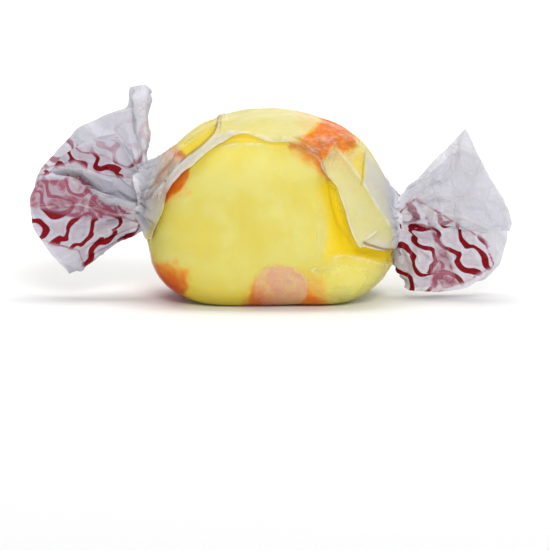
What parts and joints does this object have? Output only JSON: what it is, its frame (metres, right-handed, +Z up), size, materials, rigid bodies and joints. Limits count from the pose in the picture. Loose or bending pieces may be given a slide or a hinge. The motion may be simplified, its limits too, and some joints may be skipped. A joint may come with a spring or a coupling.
{
  "type": "salt water taffy",
  "caption": "Soft block of pulled taffy with let-in stripes, wrapped in a lapped waxed paper sheet twisted into a short neck and a folded fan at each end.",
  "frame": {"origin": "middle of the bounding box at its lowest level, on the surface that the sweet lies on", "axes": "+X along the wrapper from the left twist to the right twist as seen from the front, +Y away from the taffy's front cut face, +Z up"},
  "size_m": [0.0552, 0.0204, 0.0242],
  "materials": {
    "taffy": "soft satin sugar, pale lemon yellow",
    "stripe": "soft satin sugar, orange",
    "paper": "crumpled translucent waxed paper with a red scrollwork print"
  },
  "bodies": {
    "root": {"taffy": "taffy", "stripe_upper_right": "stripe", "stripe_left": "stripe", "stripe_lower_left": "stripe", "stripe_bottom": "stripe", "wrapper": "paper"}
  },
  "joints": []
}
